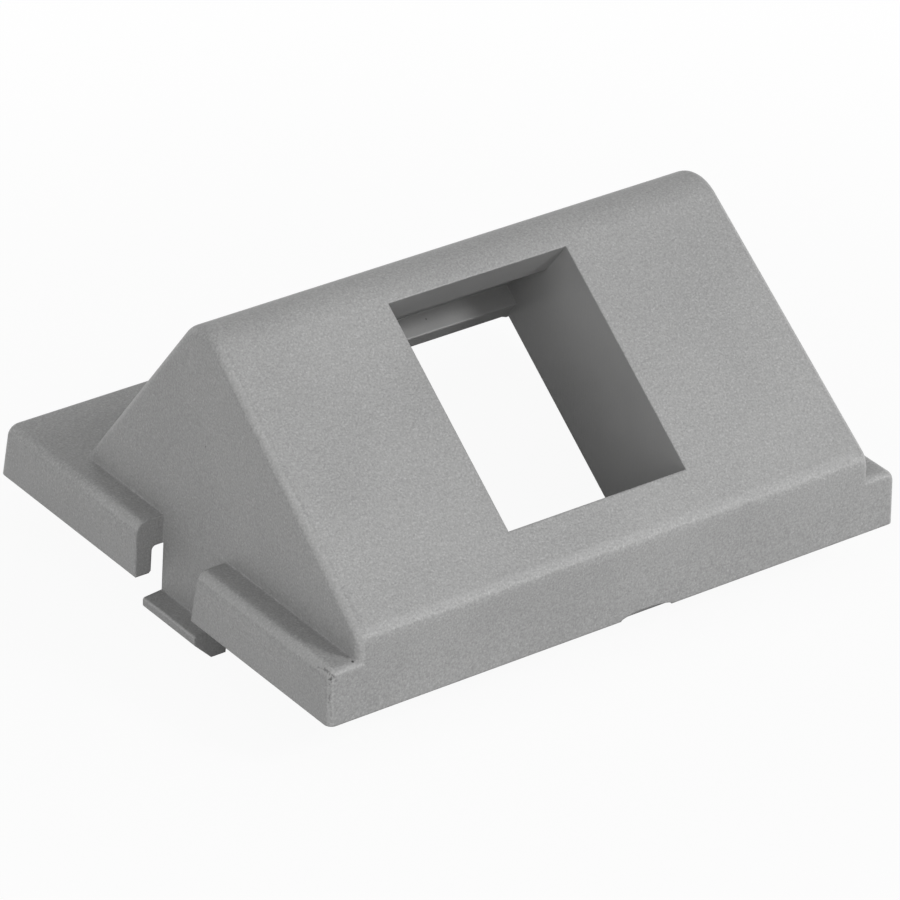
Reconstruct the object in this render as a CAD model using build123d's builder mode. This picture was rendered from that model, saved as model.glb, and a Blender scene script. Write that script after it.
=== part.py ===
"""Angled keystone insert: one injection-moulded plastic part, in millimetres.

X runs along the ridge, Y from the front face to the back, Z up.
The origin is the middle of the flange, in the plane of its lower rim,
which seats on the face of the outlet frame. The flange's back face
leans out past its nominal depth.
"""
import os
from math import cos, radians, sin, tan

from build123d import *

os.makedirs("parts", exist_ok=True)

# Flange: a flat plate with a skirt turned down all round it
flange_length = 46.8
flange_depth = 38.6
flange_height = 4.1
plate_thickness = 2.1
flange_end_radius = 0.9
flange_edge_radius = 0.55
back_lean = 10.5
skirt_wall = 1.2
skirt_draft = 1.0
skirt_inner_draft = 3.0
skirt_inner_radius = 0.35
rim_chamfer = 0.15

# Hood: a right-angled wedge that carries the socket on its long slope
slope_angle = 37.5
hood_front_height = 5.8
slope_length = 24.4
hood_ledge = 2.3
hood_draft = 2.2
hood_wall = 1.6
slope_wall = 2.0
back_wall = 1.8
ridge_radius = 3.0
front_edge_radius = 1.5
hood_side_radius = 0.8
hood_inner_radius = 0.5

# Socket: the tunnel that a keystone jack snaps into, square to the slope
socket_width = 14.6
socket_height = 17.4
socket_start = 3.5
socket_depth = 10.15
socket_wall = 1.5
latch_land = 3.45
catch_lip = 1.6
latch_pocket_depth = 1.6
lug_pocket_depth = 0.9
lug_land = 4.6

# Mouth in the back slope, through which the cable leaves the hood
mouth_width = 33.4
mouth_rise = 6.9
mouth_reach = 3.3
mouth_radius = 1.2

# Snap fingers: the hood's end walls run down through notches in the skirt
notch_front = 15.1
notch_length = 7.35
finger_front_gap = 1.2
finger_tip_wall = 1.0
finger_tip_radius = 0.7
grip = 1.6
hook_reach = 1.5
hook_fall = 0.15
hook_nose = 0.6
hook_drop = 2.1
hook_edge_radius = 0.2

# Gate mark: the small scoop where the part broke off its runner
gate_offset = 2.2
gate_width = 4.2
gate_height = 0.35
gate_depth = 0.3

cut_margin = 1.0

plate_underside = flange_height - plate_thickness
front_y = -flange_depth / 2
flange_taper = flange_height * tan(radians(skirt_draft))
lean_out = flange_height * tan(radians(back_lean))
rim_back_y = flange_depth / 2 - flange_taper + lean_out
slope_cos = cos(radians(slope_angle))
slope_sin = sin(radians(slope_angle))
hood_slant = tan(radians(hood_draft))
edge_y = front_y + hood_front_height * tan(radians(skirt_draft))


def on_slope(along, deep=0.0):
    """Point (Y, Z) at a distance up the slope from its front edge, and a depth below it."""
    y = edge_y + along * slope_cos + deep * slope_sin
    z = hood_front_height + along * slope_sin - deep * slope_cos
    return (y, z)


def down_back(deep_from_ridge, low_z):
    """Point (Y, Z) where a line parallel to the back slope, that far inside it, meets low_z."""
    y, z = on_slope(slope_length - deep_from_ridge)
    run = (z - low_z) / slope_cos
    return (y + run * slope_sin, low_z)


def hood_half_width(z, inset=0.0):
    """Half of the hood's length at a height, less an inset for its inner face."""
    return flange_length / 2 - hood_ledge - inset - (z - flange_height) * hood_slant


slope_plane = Plane(
    origin=(0, edge_y, hood_front_height),
    x_dir=(1, 0, 0),
    z_dir=(0, -slope_sin, slope_cos),
)
ridge_y, ridge_z = on_slope(slope_length)

# The flange: its profile and its elevation, crossed
with BuildPart() as flange:
    with BuildSketch(Plane.YZ) as flange_profile:
        with BuildLine():
            Polyline(
                (front_y, 0),
                (front_y + flange_taper, flange_height),
                (rim_back_y - lean_out, flange_height),
                (rim_back_y, 0),
                close=True,
            )
        make_face()
    extrude(amount=flange_length, both=True)
    with BuildSketch(Plane.XZ) as flange_elevation:
        with BuildLine():
            Polyline(
                (-flange_length / 2, 0),
                (flange_length / 2, 0),
                (flange_length / 2 - flange_taper, flange_height),
                (flange_taper - flange_length / 2, flange_height),
                close=True,
            )
        make_face()
    extrude(amount=flange_depth, both=True, mode=Mode.INTERSECT)
    top_ends = flange.edges().filter_by(Axis.Y).filter_by(lambda e: e.center().Z > plate_underside)
    fillet(top_ends, radius=flange_end_radius)
    sharp_edges = flange.edges().filter_by(lambda e: e.center().Z > 0.01)
    fillet(sharp_edges, radius=flange_edge_radius)

# The hood's outer form: the wedge profile, narrowed by the draft of its end walls
with BuildPart() as hood:
    with BuildSketch(Plane.YZ) as hood_profile:
        with BuildLine():
            low_front = (front_y + plate_underside * tan(radians(skirt_draft)), plate_underside)
            Polyline(
                low_front,
                (edge_y, hood_front_height),
                (ridge_y, ridge_z),
                down_back(0, plate_underside),
                close=True,
            )
        make_face()
    extrude(amount=flange_length / 2, both=True)
    with BuildSketch(Plane.XZ) as hood_elevation:
        with BuildLine():
            Polyline(
                (-hood_half_width(0), 0),
                (hood_half_width(0), 0),
                (hood_half_width(ridge_z), ridge_z),
                (-hood_half_width(ridge_z), ridge_z),
                close=True,
            )
        make_face()
    extrude(amount=flange_depth, both=True, mode=Mode.INTERSECT)
    long_edges = hood.edges().filter_by(Axis.X).sort_by(Axis.Z)
    fillet(long_edges[-1], radius=ridge_radius)
    front_edge = hood.edges().filter_by(Axis.X).sort_by_distance((0, edge_y, hood_front_height))[0]
    fillet(front_edge, radius=front_edge_radius)
    end_faces = hood.faces().sort_by(Axis.X)
    outline = end_faces[0].edges() + end_faces[-1].edges()
    upper_outline = outline.filter_by(lambda e: e.center().Z > plate_underside + 0.01)
    fillet(upper_outline, radius=hood_side_radius)

# The space inside the hood, open below
with BuildPart() as hood_space:
    with BuildSketch(Plane.YZ) as space_profile:
        inner_front = front_y + skirt_wall + plate_underside * tan(radians(skirt_inner_draft))
        inner_edge = (inner_front - edge_y - slope_wall * slope_sin) / slope_cos
        with BuildLine():
            Polyline(
                (inner_front, 0),
                on_slope(inner_edge, slope_wall),
                on_slope(slope_length - back_wall, slope_wall),
                down_back(back_wall, 0),
                close=True,
            )
        make_face()
    extrude(amount=flange_length / 2, both=True)
    with BuildSketch(Plane.XZ) as space_elevation:
        with BuildLine():
            Polyline(
                (-hood_half_width(0, hood_wall), 0),
                (hood_half_width(0, hood_wall), 0),
                (hood_half_width(ridge_z, hood_wall), ridge_z),
                (-hood_half_width(ridge_z, hood_wall), ridge_z),
                close=True,
            )
        make_face()
    extrude(amount=flange_depth, both=True, mode=Mode.INTERSECT)
    inner_edges = hood_space.edges().filter_by(lambda e: e.center().Z > plate_underside)
    fillet(inner_edges, radius=hood_inner_radius)

# The space inside the skirt, with the fillet under the plate and the eased rim
with BuildPart() as skirt_space:
    inner_back_y = rim_back_y - skirt_wall
    inner_front_y = front_y + skirt_wall
    with BuildSketch():
        with Locations((0, (inner_back_y + inner_front_y) / 2)):
            RectangleRounded(
                flange_length - 2 * skirt_wall,
                inner_back_y - inner_front_y,
                flange_edge_radius,
            )
    extrude(amount=plate_underside, taper=skirt_inner_draft)
    fillet(skirt_space.faces().sort_by(Axis.Z)[-1].edges(), radius=skirt_inner_radius)
    with BuildSketch():
        with Locations((0, (inner_back_y + inner_front_y) / 2)):
            RectangleRounded(
                flange_length - 2 * (skirt_wall - rim_chamfer),
                inner_back_y - inner_front_y + 2 * rim_chamfer,
                flange_edge_radius + rim_chamfer,
            )
    extrude(amount=rim_chamfer, taper=45)

# The socket's walls, which reach from the slope to the back wall
with BuildPart() as socket_walls:
    wall_top = slope_length - back_wall / 2
    with BuildSketch(slope_plane.offset(-slope_wall / 2)):
        with Locations((0, (socket_start - socket_wall + wall_top) / 2)):
            Rectangle(socket_width + 2 * socket_wall, wall_top - socket_start + socket_wall)
    extrude(amount=slope_wall / 2 - socket_depth)
    split(bisect_by=Plane.XY, keep=Keep.TOP)

# What is cut out of the socket: the tunnel, the latch pocket and the lug pocket
with BuildPart() as socket_space:
    pocket_height = socket_depth - latch_land - catch_lip
    lug_height = socket_depth - lug_land - catch_lip
    with BuildSketch(slope_plane.offset(cut_margin)):
        with Locations((0, socket_start + socket_height / 2)):
            Rectangle(socket_width, socket_height)
    extrude(amount=-socket_depth - 2 * cut_margin)
    with BuildSketch(slope_plane.offset(-latch_land)):
        with Locations((0, socket_start + socket_height)):
            Rectangle(socket_width, 2 * latch_pocket_depth)
    extrude(amount=-pocket_height)
    with BuildSketch(slope_plane.offset(-lug_land)):
        with Locations((0, socket_start)):
            Rectangle(socket_width, 2 * lug_pocket_depth)
    extrude(amount=-lug_height)

# The cable mouth: a window low in the back slope that runs on into the plate
with BuildPart() as mouth:
    mouth_plane = Plane(
        origin=(0, *down_back(0, flange_height)),
        x_dir=(-1, 0, 0),
        z_dir=(0, slope_cos, slope_sin),
    )
    with BuildSketch(mouth_plane.offset(cut_margin)):
        with Locations((0, (mouth_rise - flange_height) / 2)):
            Rectangle(mouth_width, mouth_rise + flange_height)
    extrude(amount=-back_wall - 2 * cut_margin)
    top_corners = mouth.edges().filter_by(Axis((0, 0, 0), (0, slope_cos, slope_sin)))
    fillet(top_corners.group_by(Axis.Z)[-1], radius=mouth_radius)
    foot_y = down_back(back_wall, 0)[0]
    mouth_end = down_back(0, flange_height)[0] + mouth_reach
    with BuildSketch(Plane.XY) as mouth_plan:
        with Locations((0, (foot_y - back_wall + mouth_end) / 2)):
            RectangleRounded(mouth_width, mouth_end - foot_y + back_wall, mouth_radius)
    extrude(amount=flange_height + cut_margin)

# One snap finger: it follows the end wall down and ends in a hook
with BuildPart() as finger:
    root_z = plate_underside + hood_wall
    hook_top = -grip
    hook_low = -grip - hook_drop
    tip_outer = hood_half_width(hook_top)
    finger_front = front_y + notch_front + finger_front_gap
    finger_length = notch_length - finger_front_gap
    with BuildSketch(Plane.XZ.offset(-finger_front - finger_length)) as finger_profile:
        with BuildLine():
            Polyline(
                (hood_half_width(root_z), root_z),
                (tip_outer, hook_top),
                (tip_outer + hook_reach, hook_top - hook_fall),
                (tip_outer + hook_reach, hook_top - hook_fall - hook_nose),
                (tip_outer + hook_reach + hook_fall + hook_nose - hook_drop, hook_low),
                (tip_outer - finger_tip_wall, hook_low),
                (hood_half_width(root_z, hood_wall), root_z),
                close=True,
            )
        make_face()
        inner_tip = finger_profile.vertices().group_by(Axis.Z)[0].sort_by(Axis.X)[0]
        fillet(inner_tip, radius=finger_tip_radius)
        nose = finger_profile.vertices().group_by(Axis.X)[-1]
        fillet(nose, radius=hook_edge_radius)
    extrude(amount=finger_length)

# The notches in both ends of the flange, out to the end walls' outer faces
with BuildPart() as notches:
    notch_top = flange_height + cut_margin
    with BuildSketch(Plane.XZ) as notch_elevation:
        with BuildLine():
            Polyline(
                (hood_half_width(0), 0),
                (hood_half_width(notch_top), notch_top),
                (flange_length / 2 + cut_margin, notch_top),
                (flange_length / 2 + cut_margin, 0),
                close=True,
            )
        make_face()
        mirror(about=Plane.YZ)
    extrude(amount=flange_depth, both=True)
    with BuildSketch(Plane.YZ) as notch_plan:
        notch_y = front_y + notch_front
        lean_slope = tan(radians(back_lean))
        with BuildLine():
            Polyline(
                (notch_y + lean_out, 0),
                (notch_y - cut_margin * lean_slope, notch_top),
                (notch_y + notch_length, notch_top),
                (notch_y + notch_length, 0),
                close=True,
            )
        make_face()
    extrude(amount=flange_length, both=True, mode=Mode.INTERSECT)

# The insert: flange and hood in one, then everything that is cut out of them
with BuildPart() as insert:
    add(flange.part)
    add(hood.part)
    add(skirt_space.part, mode=Mode.SUBTRACT)
    add(hood_space.part, mode=Mode.SUBTRACT)
    add(socket_walls.part)
    add(socket_space.part, mode=Mode.SUBTRACT)
    add(mouth.part, mode=Mode.SUBTRACT)

    add(notches.part, mode=Mode.SUBTRACT)

    add(finger.part)
    add(mirror(finger.part, about=Plane.YZ, mode=Mode.PRIVATE))

    # Gate mark in the front rim
    with BuildSketch(Plane.XZ.offset(-front_y - gate_depth)):
        with Locations((gate_offset, 0)):
            Ellipse(gate_width / 2, gate_height)
    extrude(amount=gate_depth + cut_margin, mode=Mode.SUBTRACT)

insert.part.label = "keystone_insert"
export_step(insert.part, "parts/keystone_insert.step")
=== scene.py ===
from math import cos, radians, sin

import bpy
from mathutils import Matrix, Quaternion, Vector


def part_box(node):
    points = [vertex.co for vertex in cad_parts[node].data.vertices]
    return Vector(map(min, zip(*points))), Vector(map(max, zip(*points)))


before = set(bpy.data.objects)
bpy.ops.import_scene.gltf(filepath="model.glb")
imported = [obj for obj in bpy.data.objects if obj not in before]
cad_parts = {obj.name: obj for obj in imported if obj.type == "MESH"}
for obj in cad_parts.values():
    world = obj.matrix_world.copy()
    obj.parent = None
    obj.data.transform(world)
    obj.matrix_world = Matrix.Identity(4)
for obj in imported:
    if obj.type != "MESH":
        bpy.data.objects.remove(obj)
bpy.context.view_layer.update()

# THE INSERT
# One injection moulding in light grey ABS, straight from the mould and unpainted. The cavity was
# spark-eroded, so every outer face has a fine dry grain. The core was polished, so the inside and
# the walls of the jack opening are smoother, with faint lines along the way the core was drawn out.
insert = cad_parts["keystone_insert"]

light_grey = (0.362, 0.362, 0.360, 1.0)
shade_grey = (0.322, 0.322, 0.321, 1.0)
# The paler grey is for the painted highlight on edges and inner corners
highlight_grey = (0.455, 0.455, 0.452, 1.0)
# The soot colour is for the burnt specks and smears, and also for the painted shade in the gate
# scoop
soot_and_shade_grey = (0.030, 0.029, 0.028, 1.0)

# The outer faces of the moulding, in metres. The rim lies at height zero, and the drafts say how
# far a face comes in for each metre that it rises.
flange_half_length = 0.0234
flange_height = 0.0041
front_face_depth = 0.0193
back_face_depth = 0.01999
back_face_draft = 0.1853
hood_half_length = 0.02126
end_wall_draft = 0.0384
slope_length = 0.0244
slope_tilt = radians(37.5)
slope_front_edge = Vector((0.0, -0.01920, 0.0058))
slope_up = Vector((0.0, cos(slope_tilt), sin(slope_tilt)))
slope_out = Vector((0.0, -sin(slope_tilt), cos(slope_tilt)))
gate_place = Vector((0.0022, -0.0193, 0.0))

plastic = bpy.data.materials.new("grained_grey_abs")
plastic.use_nodes = True
abs_tree = plastic.node_tree
abs_tree.nodes.clear()


def place(tree, kind, inputs=None, **options):
    """Puts a node in a tree. Each input takes a plain value or another node's socket."""
    made = tree.nodes.new(kind)
    for option, value in options.items():
        setattr(made, option, value)
    for socket, value in (inputs or {}).items():
        if isinstance(value, bpy.types.NodeSocket):
            tree.links.new(value, made.inputs[socket])
        else:
            made.inputs[socket].default_value = value
    return made


def sums(tree, operation, first, second=0.0, clamp=False):
    """One step of arithmetic between two sockets or numbers."""
    inputs = {0: first, 1: second}
    return place(tree, "ShaderNodeMath", inputs, operation=operation, use_clamp=clamp).outputs[0]


def plus(tree, first, second):
    """Two values added up."""
    return sums(tree, "ADD", first, second)


def minus(tree, first, second):
    """The first value less the second."""
    return sums(tree, "SUBTRACT", first, second)


def times(tree, first, second):
    """Two values multiplied."""
    return sums(tree, "MULTIPLY", first, second)


def lowest(tree, first, *others):
    """The lowest of some values."""
    for other in others:
        first = sums(tree, "MINIMUM", first, other)
    return first


def highest(tree, first, *others):
    """The highest of some values."""
    for other in others:
        first = sums(tree, "MAXIMUM", first, other)
    return first


def apart(tree, first, second):
    """The arrow from the second point to the first."""
    inputs = {0: first, 1: second}
    return place(tree, "ShaderNodeVectorMath", inputs, operation="SUBTRACT").outputs[0]


def share_along(tree, arrow, direction):
    """How far an arrow reaches along a direction. For two facings it is 1 where they agree."""
    inputs = {0: arrow, 1: direction}
    return place(tree, "ShaderNodeVectorMath", inputs, operation="DOT_PRODUCT").outputs["Value"]


def height_along(tree, point, direction, origin=(0, 0, 0)):
    """How far a point lies along a direction, measured from an origin."""
    return share_along(tree, apart(tree, point, origin), direction)


here = place(abs_tree, "ShaderNodeTexCoord").outputs["Object"]
across = height_along(abs_tree, here, (1, 0, 0))
upward = height_along(abs_tree, here, (0, 0, 1))
from_middle = sums(abs_tree, "ABSOLUTE", across)
backward_place = height_along(abs_tree, here, (0, 1, 0))

# How deep a point lies below each outer face of the hood and the flange
below_slope = times(abs_tree, height_along(abs_tree, here, slope_out, slope_front_edge), -1.0)
up_the_slope = height_along(abs_tree, here, slope_up, slope_front_edge)
from_hood_back = minus(abs_tree, slope_length, up_the_slope)
end_wall = minus(abs_tree, hood_half_length, times(abs_tree, upward, end_wall_draft))
from_end_wall = minus(abs_tree, end_wall, from_middle)
back_face = minus(abs_tree, back_face_depth, times(abs_tree, upward, back_face_draft))
from_back_face = minus(abs_tree, back_face, backward_place)
from_front_face = plus(abs_tree, backward_place, front_face_depth)
from_flange_end = minus(abs_tree, flange_half_length, from_middle)
below_plate = minus(abs_tree, flange_height, upward)
in_hood = lowest(abs_tree, below_slope, from_hood_back, from_end_wall, from_front_face)
in_flange = lowest(
    abs_tree, from_flange_end, from_front_face, from_back_face, below_plate, from_end_wall
)


def fade(tree, value, start, end, to_start=0.0, to_end=1.0):
    """Runs smoothly from one number to another as a value goes from start to end."""
    inputs = {
        "Value": value,
        "From Min": start,
        "From Max": end,
        "To Min": to_start,
        "To Max": to_end,
    }
    return place(tree, "ShaderNodeMapRange", inputs, interpolation_type="SMOOTHSTEP").outputs[0]


# Where the core shaped the plastic: deeper than the walls are thick, or in the jack opening
hood_wall = (0.00112, 0.00130)
flange_wall = (0.00060, 0.00080)
opening_side = (0.00736, 0.00732)
opening_foot = (0.00344, 0.00348)
opening_head = (0.02096, 0.02092)
opening_mouth = (0.00004, 0.00012)
inside_hood = fade(abs_tree, in_hood, *hood_wall)
inside_flange = fade(abs_tree, in_flange, *flange_wall)
in_opening = lowest(
    abs_tree,
    fade(abs_tree, from_middle, *opening_side),
    times(
        abs_tree,
        fade(abs_tree, up_the_slope, *opening_foot),
        fade(abs_tree, up_the_slope, *opening_head),
    ),
    fade(abs_tree, below_slope, *opening_mouth),
)
core_side = highest(abs_tree, inside_hood, inside_flange, in_opening)
cavity_side = minus(abs_tree, 1.0, core_side)


def noise(tree, point, size, detail=2.0, roughness=0.5):
    """Even random variation whose lumps are about that size, in metres."""
    inputs = {"Vector": point, "Scale": 1.0 / size, "Detail": detail, "Roughness": roughness}
    return place(tree, "ShaderNodeTexNoise", inputs).outputs[0]


def blend(tree, share, first, second):
    """A value between two others."""
    # The Mix node gives its sockets the same names for each kind of data, so they go by number
    inputs = {0: share, 2: first, 3: second}
    return place(tree, "ShaderNodeMix", inputs, data_type="FLOAT").outputs[0]


# The grain: close, rounded pits about 0.15 mm apart, deeper here and there. The core left faint
# lines instead, all the way up each wall.
pits = noise(abs_tree, here, size=0.00015, detail=1.2, roughness=0.55)
clusters = noise(abs_tree, here, size=0.00048, detail=1.0)
unevenness = noise(abs_tree, here, size=0.0042, detail=3.0, roughness=0.6)
pit_depth = fade(abs_tree, unevenness, start=0.25, end=0.75, to_start=0.75, to_end=1.2)
cluster_depth = 0.55
grain = plus(
    abs_tree, times(abs_tree, pits, pit_depth), times(abs_tree, clusters, cluster_depth)
)
drawn_out = place(
    abs_tree, "ShaderNodeMapping", {"Vector": here, "Scale": (1.0, 1.0, 0.06)}
).outputs[0]
draw_lines = noise(abs_tree, drawn_out, size=0.00013, detail=2.0)
draw_line_depth = 0.28
polished_pit_depth = 0.12
core_finish = plus(
    abs_tree,
    times(abs_tree, draw_lines, draw_line_depth),
    times(abs_tree, pits, polished_pit_depth),
)
relief = blend(abs_tree, core_side, grain, core_finish)


def gap(tree, first, second):
    """How far two points are from each other."""
    inputs = {0: first, 1: second}
    return place(tree, "ShaderNodeVectorMath", inputs, operation="DISTANCE").outputs["Value"]


# What the melt left: faint ripples round the gate and slow changes of shade along the flow
waviness = 0.004
ripples_per_metre = 4200.0
from_gate = gap(abs_tree, here, gate_place)
rippled = plus(abs_tree, from_gate, times(abs_tree, noise(abs_tree, here, size=0.006), waviness))
ripples = sums(abs_tree, "SINE", times(abs_tree, rippled, ripples_per_metre))
near_gate = fade(abs_tree, from_gate, start=0.003, end=0.017, to_start=1.0, to_end=0.0)
ripples = times(abs_tree, ripples, near_gate)
shade = noise(abs_tree, here, size=0.0130, detail=3.0, roughness=0.55)

# Where the surface turns from one flat face to the next, the painted glints, the painted shade in
# the pits and the painted edge highlight are stronger, but less so on the broad round of the ridge
facing = place(abs_tree, "ShaderNodeNewGeometry").outputs["Normal"]
squareness = 0.0
for flat_face in ((1, 0, 0), (0, 1, 0), (0, 0, 1), slope_out, slope_up):
    lined_up = sums(abs_tree, "ABSOLUTE", share_along(abs_tree, facing, flat_face))
    squareness = highest(abs_tree, squareness, lined_up)
turned = fade(abs_tree, squareness, start=0.975, end=0.88)
turned = times(abs_tree, turned, cavity_side)
off_the_ridge = fade(
    abs_tree, up_the_slope, start=0.0195, end=0.0225, to_start=1.0, to_end=0.35
)
turned = times(abs_tree, turned, off_the_ridge)

# Sharp edges and inner corners: no mould edge is truly sharp, and the bevel shading rounds them.
# Edges and inner corners alike are painted paler in patches, as a painted highlight
rounded = place(abs_tree, "ShaderNodeBevel", {"Radius": 0.00022}, samples=8).outputs[0]
edge_facing = share_along(abs_tree, rounded, facing)
painted_edge_highlight = fade(abs_tree, edge_facing, start=0.985, end=0.80)
patchiness = fade(abs_tree, clusters, start=0.35, end=0.70, to_start=0.25, to_end=1.0)
turned_edge_highlight = 0.75
painted_edge_highlight = times(abs_tree, painted_edge_highlight, patchiness)
painted_edge_highlight = highest(abs_tree, painted_edge_highlight, times(abs_tree, turned, turned_edge_highlight))
painted_edge_highlight = times(abs_tree, painted_edge_highlight, cavity_side)


def scaled(tree, arrow, amount):
    """An arrow made longer, or a colour made brighter, so many times."""
    inputs = {0: arrow, "Scale": amount}
    return place(tree, "ShaderNodeVectorMath", inputs, operation="SCALE").outputs[0]


def spot(tree, point, centre, radius, ragged):
    """A small blot, strongest in its middle, with a ragged rim."""
    wander, rim, middle = radius * 1.6, radius * 1.7, radius * 0.9
    away = plus(tree, gap(tree, point, centre), times(tree, ragged, wander))
    return fade(tree, away, start=rim, end=middle)


def streak(tree, point, start, end, radius, ragged):
    """A thin smear from one point to another, with a ragged rim."""
    run = Vector(end) - Vector(start)
    from_start = apart(tree, point, start)
    run_share = share_along(tree, from_start, run / run.length_squared)
    run_share = sums(tree, "ADD", run_share, 0.0, clamp=True)
    wander, rim, middle = radius * 5.0, radius * 3.6, radius * 2.0
    away = gap(tree, from_start, scaled(tree, run, run_share))
    away = plus(tree, away, times(tree, ragged, wander))
    return fade(tree, away, start=rim, end=middle)


# Burnt specks in the plastic, each with its centre and radius
burnt_specks = (
    ((-0.020822, -0.001297, 0.011340), 0.00011),
    ((-0.021305, -0.018822, 0.004082), 0.00016),
    ((0.000239, 0.003392, 0.012358), 0.00010),
    ((0.020700, 0.002400, 0.009100), 0.00013),
    ((-0.011800, 0.017900, 0.004100), 0.00012),
    ((0.009400, -0.006100, 0.015700), 0.00007),
)
# Smears down the front left corner and on the back right one, where the insert was knocked. Each
# has its two ends, radius and strength.
corner_smears = (
    ((-0.023178, -0.017668, 0.003720), (-0.023060, -0.018721, 0.003850), 0.000060, 0.34),
    ((-0.023092, -0.018212, 0.003860), (-0.023060, -0.018900, 0.003800), 0.000110, 0.50),
    ((-0.023060, -0.018721, 0.003850), (-0.022989, -0.019068, 0.003706), 0.000150, 0.85),
    ((-0.023102, -0.019009, 0.003800), (-0.023150, -0.019040, 0.003200), 0.000130, 0.80),
    ((-0.022989, -0.019068, 0.003706), (-0.022861, -0.019224, 0.003350), 0.000110, 0.62),
    ((-0.023206, -0.019058, 0.002300), (-0.023213, -0.019101, 0.001650), 0.000140, 0.46),
    ((-0.023162, -0.019117, 0.003200), (-0.023170, -0.019185, 0.000300), 0.000110, 0.26),
    ((0.023060, 0.018300, 0.003400), (0.023300, 0.018600, 0.001400), 0.000120, 0.35),
)
speck_strength = 0.9
ragged = noise(abs_tree, here, size=0.00022, detail=2.0)
specks = 0.0
for centre, radius in burnt_specks:
    specks = highest(abs_tree, specks, spot(abs_tree, here, centre, radius, ragged))
smears = 0.0
for start, end, radius, strength in corner_smears:
    smear = streak(abs_tree, here, start, end, radius, ragged)
    smears = highest(abs_tree, smears, times(abs_tree, smear, strength))
dirt = highest(abs_tree, times(abs_tree, specks, speck_strength), smears)

# The gate was twisted off, which left a scoop in the rim. The colour there is darkened as painted
# shade, with a ragged rim
scoop_half_size = (0.0021, 0.0006, 0.00036)
scoop_shade_rag = 0.3
in_scoop = place(
    abs_tree,
    "ShaderNodeVectorMath",
    {0: apart(abs_tree, here, gate_place), 1: tuple(1 / half for half in scoop_half_size)},
    operation="MULTIPLY",
).outputs[0]
in_scoop = place(
    abs_tree, "ShaderNodeVectorMath", {0: in_scoop}, operation="LENGTH"
).outputs["Value"]
in_scoop = plus(abs_tree, in_scoop, times(abs_tree, ragged, scoop_shade_rag))
scoop_shade = fade(abs_tree, in_scoop, start=1.30, end=1.05)


def blend_colour(tree, share, first, second):
    """A colour between two others."""
    inputs = {0: share, 6: first, 7: second}
    return place(tree, "ShaderNodeMix", inputs, data_type="RGBA").outputs[2]


# The colour: pits are darkened as painted shade and the tops between them get painted glints, most
# of all where the surface turns
# Painted glints: bright flecks put into the colour where the grain would catch the light
painted_glint_noise = noise(abs_tree, here, size=0.00013, detail=0.0)
painted_glint_places = fade(abs_tree, painted_glint_noise, start=0.60, end=0.74)
flat_contrast = 0.68
turned_contrast = 1.05
painted_glint_brightness = 0.26
middle_brightness = 0.985
middle_height = 0.5
contrast = plus(abs_tree, flat_contrast, times(abs_tree, turned, turned_contrast))
unpolished = fade(abs_tree, core_side, start=0.0, end=1.0, to_start=1.0, to_end=0.12)
contrast = times(abs_tree, contrast, unpolished)
# Painted shade in the pits and painted glints on the tops, scaled into the colour
painted_pit_shade_and_glints = times(abs_tree, minus(abs_tree, pits, middle_height), contrast)
painted_pit_shade_and_glints = plus(abs_tree, painted_pit_shade_and_glints, middle_brightness)
painted_glints = times(abs_tree, painted_glint_places, times(abs_tree, contrast, painted_glint_brightness))
painted_pit_shade_and_glints = plus(abs_tree, painted_pit_shade_and_glints, painted_glints)

edge_highlight_paleness = 0.8
scoop_shade_darkness = 0.45
lightness = fade(abs_tree, shade, start=0.3, end=0.7)
colour = blend_colour(abs_tree, lightness, shade_grey, light_grey)
colour = scaled(abs_tree, colour, painted_pit_shade_and_glints)
# Painted highlight: edges and inner corners made paler in the colour
colour = blend_colour(abs_tree, times(abs_tree, painted_edge_highlight, edge_highlight_paleness), colour, highlight_grey)
# Painted shade in the gate scoop
colour = blend_colour(abs_tree, times(abs_tree, scoop_shade, scoop_shade_darkness), colour, soot_and_shade_grey)
colour = blend_colour(abs_tree, dirt, colour, soot_and_shade_grey)

# The gloss: core faces and the edges with the painted highlight are shinier, and dirt is duller
ripple_change = 0.012
core_shine = 0.10
edge_highlight_shine = 0.08
dirt_change = 0.25
dullness = fade(abs_tree, shade, start=0.25, end=0.75, to_start=0.44, to_end=0.52)
dullness = plus(abs_tree, dullness, times(abs_tree, ripples, ripple_change))
dullness = minus(abs_tree, dullness, times(abs_tree, core_side, core_shine))
dullness = minus(abs_tree, dullness, times(abs_tree, painted_edge_highlight, edge_highlight_shine))
dirty = times(abs_tree, dirt, dirt_change)
dullness = sums(abs_tree, "ADD", dullness, dirty, clamp=True)

# The finished plastic
grained = place(
    abs_tree,
    "ShaderNodeBump",
    {"Height": relief, "Distance": 0.000030, "Strength": 1.0, "Normal": rounded},
).outputs[0]
surface = place(
    abs_tree,
    "ShaderNodeBsdfPrincipled",
    {"Base Color": colour, "Roughness": dullness, "Normal": grained, "IOR": 1.50},
).outputs[0]
place(abs_tree, "ShaderNodeOutputMaterial", {"Surface": surface})
insert.data.materials[0] = plastic

# THE STUDIO
# A pale table top, white to the camera but for the insert's own soft shadow. A small lamp at the
# front right, high up, makes the shadows, and a soft lamp at the left, a weak one behind and a
# pale room, brighter in front than at the back, fill them.
table = bpy.data.meshes.new("table_top")
half_side = 1.6
air_below_hooks = 0.00005
hooks_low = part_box("keystone_insert")[0].z
table_height = hooks_low - air_below_hooks
corners = [
    (-half_side, -half_side, table_height),
    (half_side, -half_side, table_height),
    (half_side, half_side, table_height),
    (-half_side, half_side, table_height),
]
table.from_pydata(corners, [], [(0, 1, 2, 3)])
table_top = bpy.data.objects.new("table_top", table)
bpy.context.scene.collection.objects.link(table_top)

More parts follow.
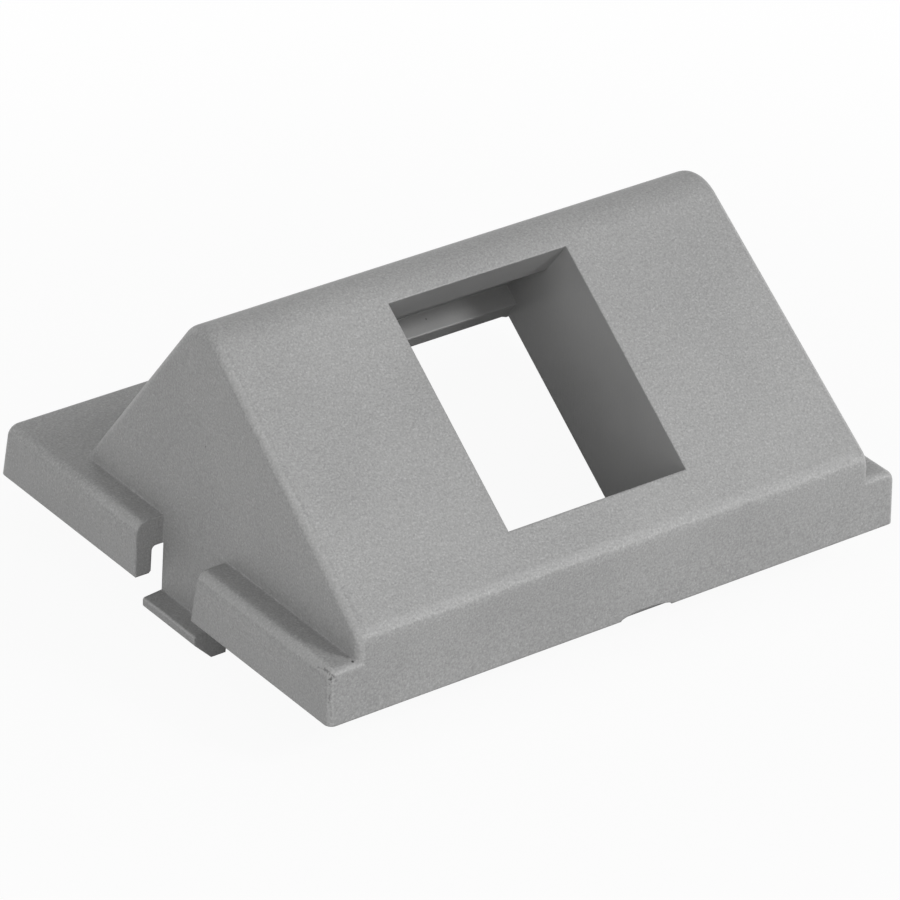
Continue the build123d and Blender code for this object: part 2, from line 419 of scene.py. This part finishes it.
white = (1, 1, 1, 1)
dark_fibre = (0.68, 0.68, 0.68, 1.0)
pale_fibre = (0.72, 0.72, 0.72, 1.0)
paper = bpy.data.materials.new("pale_paper")
paper.use_nodes = True
paper_tree = paper.node_tree
paper_tree.nodes.clear()
on_paper = place(paper_tree, "ShaderNodeTexCoord").outputs["Object"]
fibre = noise(paper_tree, on_paper, size=0.004, detail=3.0)
paper_grey = blend_colour(paper_tree, fibre, dark_fibre, pale_fibre)
lit_paper = place(
    paper_tree, "ShaderNodeBsdfPrincipled", {"Base Color": paper_grey, "Roughness": 0.9}
).outputs[0]
white_paper = place(
    paper_tree, "ShaderNodeEmission", {"Color": white, "Strength": 1.0}
).outputs[0]

# Reflections see the paper as white too, but not the paper under the insert, which is in the dark
rays = place(paper_tree, "ShaderNodeLightPath").outputs
paper_across = sums(paper_tree, "ABSOLUTE", height_along(paper_tree, on_paper, (1, 0, 0)))
paper_deep = sums(paper_tree, "ABSOLUTE", height_along(paper_tree, on_paper, (0, 1, 0)))
clear_of_insert = highest(
    paper_tree,
    fade(paper_tree, paper_across, start=0.0215, end=0.0265),
    fade(paper_tree, paper_deep, start=0.0175, end=0.0225),
)
in_gloss = highest(paper_tree, rays["Is Glossy Ray"], rays["Is Transmission Ray"])
in_gloss = times(paper_tree, in_gloss, clear_of_insert)
seen = highest(paper_tree, rays["Is Camera Ray"], in_gloss)

# Close to the insert a little of the lit paper shows through the white, and with it the shadow
from_insert = place(
    paper_tree, "ShaderNodeVectorMath", {0: on_paper}, operation="LENGTH"
).outputs["Value"]
whiteness = fade(
    paper_tree, from_insert, start=0.030, end=0.110, to_start=0.94, to_end=1.0
)
seen = times(paper_tree, seen, whiteness)
paper_surface = place(
    paper_tree, "ShaderNodeMixShader", {0: seen, 1: lit_paper, 2: white_paper}
).outputs[0]
place(paper_tree, "ShaderNodeOutputMaterial", {"Surface": paper_surface})
table.materials.append(paper)

room = bpy.data.worlds.new("pale_room")
room.use_nodes = True
room_tree = room.node_tree
room_tree.nodes.clear()
rays = place(room_tree, "ShaderNodeLightPath").outputs
seen = highest(
    room_tree, rays["Is Camera Ray"], rays["Is Transmission Ray"], rays["Is Glossy Ray"]
)
towards = place(room_tree, "ShaderNodeTexCoord").outputs["Generated"]
depth_of_room = height_along(room_tree, towards, (0, 1, 0))
room_strength = fade(
    room_tree, depth_of_room, start=-0.4, end=0.7, to_start=0.57, to_end=0.17
)
room_light = place(
    room_tree, "ShaderNodeBackground", {"Color": white, "Strength": room_strength}
).outputs[0]
room_white = place(
    room_tree, "ShaderNodeBackground", {"Color": white, "Strength": 1.0}
).outputs[0]
room_surface = place(
    room_tree, "ShaderNodeMixShader", {0: seen, 1: room_light, 2: room_white}
).outputs[0]
place(room_tree, "ShaderNodeOutputWorld", {"Surface": room_surface})
bpy.context.scene.world = room


def hang_lamp(name, direction, distance, size, watts):
    """A square soft lamp that hangs in a direction from the insert and faces it."""
    lamp = bpy.data.lights.new(name, "AREA")
    lamp.size = size
    lamp.energy = watts
    hung = bpy.data.objects.new(name, lamp)
    middle_of_insert = Vector((0, 0, 0.008))
    towards_lamp = Vector(direction).normalized()
    hung.location = towards_lamp * distance + middle_of_insert
    hung.rotation_mode = "QUATERNION"
    hung.rotation_quaternion = towards_lamp.to_track_quat("Z", "Y")
    bpy.context.scene.collection.objects.link(hung)


hang_lamp("key_lamp", (0.414, -0.684, 0.598), distance=0.60, size=0.13, watts=1.42)
hang_lamp("left_fill", (-0.88, -0.30, 0.26), distance=0.60, size=0.35, watts=0.60)
hang_lamp("back_fill", (-0.25, 0.96, 0.03), distance=0.60, size=0.30, watts=0.36)
bpy.context.scene.view_settings.view_transform = "Standard"

# THE CAMERA
# It stands where the photograph was taken from: to the front left, about thirty degrees up, with
# the level a little off. Place and lens come from the straight edges in the photograph.
camera_place = Vector((-0.21322, -0.28592, 0.20856))
turn = radians(-36.717)
rise = radians(29.8525)
off_level = radians(1.5623)
backward = Vector((sin(turn) * cos(rise), -cos(turn) * cos(rise), sin(rise)))
level_look = backward.to_track_quat("Z", "Y")
view_camera = bpy.data.cameras.new("photo_camera")
view_camera.sensor_width = 36.0
view_camera.lens = 242.66
view_camera.clip_start = 0.02
view_camera.clip_end = 20.0
photo_camera = bpy.data.objects.new("photo_camera", view_camera)
photo_camera.location = camera_place
photo_camera.rotation_mode = "QUATERNION"
photo_camera.rotation_quaternion = level_look @ Quaternion((0, 0, 1), off_level)
bpy.context.scene.collection.objects.link(photo_camera)
bpy.context.scene.camera = photo_camera
